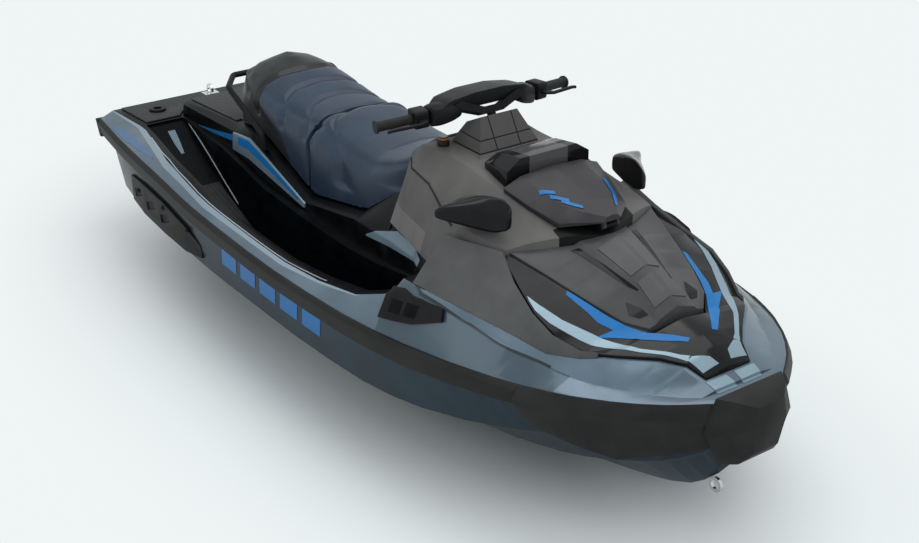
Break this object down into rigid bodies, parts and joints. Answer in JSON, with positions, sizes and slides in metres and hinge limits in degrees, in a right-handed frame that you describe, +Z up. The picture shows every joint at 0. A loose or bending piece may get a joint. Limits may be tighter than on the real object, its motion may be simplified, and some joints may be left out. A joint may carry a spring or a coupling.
{
  "type": "personal watercraft",
  "caption": "Three-seat touring personal watercraft with a vee hull, stepped seat, creased bow hood, handlebar steering and a jet drive with reverse bucket.",
  "frame": {"origin": "amidships on the centre plane at the floating waterline", "axes": "+X forward to the bow, +Y to port, +Z up"},
  "size_m": [3.453, 1.258, 1.1216],
  "materials": {
    "hull_paint": "slate blue gel coat, glossy",
    "deck_paint": "light slate gel coat, glossy",
    "black_trim": "matt black",
    "black_plastic": "satin black",
    "console_grey": "fine grained grey",
    "hood_black": "charcoal",
    "hood_plate": "satin charcoal plate",
    "gloss_black": "gloss black",
    "accent_paint": "light slate with a blue band",
    "vinyl": "navy marine vinyl",
    "mat": "grooved foam",
    "grip_rubber": "ribbed",
    "bar_metal": "black powder coat",
    "pump_metal": "cast and machined",
    "stainless": "polished",
    "engine_grey": "plain block"
  },
  "bodies": {
    "boat": {"accent_panel_port": "accent_paint", "accent_panel_starboard": "accent_paint", "accessory_anchor_port": "black_plastic", "accessory_anchor_starboard": "black_plastic", "bow_bumper": "black_trim", "bow_eye": "stainless", "console": "console_grey", "deck": "deck_paint", "driver_seat": "vinyl", "engine": "engine_grey", "footwell_mat_port": "mat", "footwell_mat_starboard": "mat", "gauge_pod": "gloss_black", "grab_handle": "black_plastic", "gunwale_vent_port": "black_plastic", "gunwale_vent_starboard": "black_plastic", "hood": "hood_black", "hood_panel": "hood_plate", "hull": "hull_paint", "intake_grate": "pump_metal", "jet_pump": "pump_metal", "mirror_port": "gloss_black", "mirror_starboard": "gloss_black", "passenger_seat": "vinyl", "platform_mat": "mat", "rear_deck_pad": "mat", "ride_plate": "pump_metal", "rub_rail": "black_trim", "shroud_port": "console_grey", "shroud_starboard": "console_grey", "sponson_port": "black_trim", "sponson_starboard": "black_trim", "stern_eye_port": "stainless", "stern_eye_starboard": "stainless", "tow_eye": "stainless"},
    "steering": {"bar_pad": "black_plastic", "brake_lever": "black_plastic", "grip_port": "grip_rubber", "grip_starboard": "grip_rubber", "handlebar": "bar_metal", "switch_housing_port": "black_plastic", "switch_housing_starboard": "black_plastic", "throttle_lever": "black_plastic"},
    "nozzle": {"steering_nozzle": "pump_metal"},
    "bucket": {"reverse_bucket": "black_plastic"},
    "impeller": {"impeller": "stainless"},
    "storage_lid": {"storage_lid": "console_grey"},
    "glove_lid": {"glove_lid": "console_grey"}
  },
  "joints": [
    {"name": "steering", "type": "hinge", "parent": "boat", "child": "steering", "pos_m": [0.44, 0, 0.795], "axis": [-0.4226, 0, 0.9063], "range_deg": [-22, 22]},
    {"name": "nozzle_steer", "type": "hinge", "parent": "boat", "child": "nozzle", "pos_m": [-1.563, 0, -0.055], "axis": [0, 0, 1], "range_deg": [-17.6, 17.6]},
    {"name": "reverse_bucket", "type": "hinge", "parent": "boat", "child": "bucket", "pos_m": [-1.495, 0, -0.055], "axis": [0, -1, 0], "range_deg": [0, 62]},
    {"name": "impeller_spin", "type": "hinge", "parent": "boat", "child": "impeller", "pos_m": [-1.343, 0, -0.055], "axis": [1, 0, 0], "continuous": true},
    {"name": "storage_lid_hinge", "type": "hinge", "parent": "boat", "child": "storage_lid", "pos_m": [1.039, 0, 0.61371], "axis": [0, 1, 0], "range_deg": [0, 58]},
    {"name": "glove_lid_hinge", "type": "hinge", "parent": "boat", "child": "glove_lid", "pos_m": [0.32345, 0, 0.70982], "axis": [0, 1, 0], "range_deg": [0, 55]}
  ],
  "couplings": [
    {"joint": "nozzle_steer", "follows": "steering", "ratio": -0.8}
  ]
}
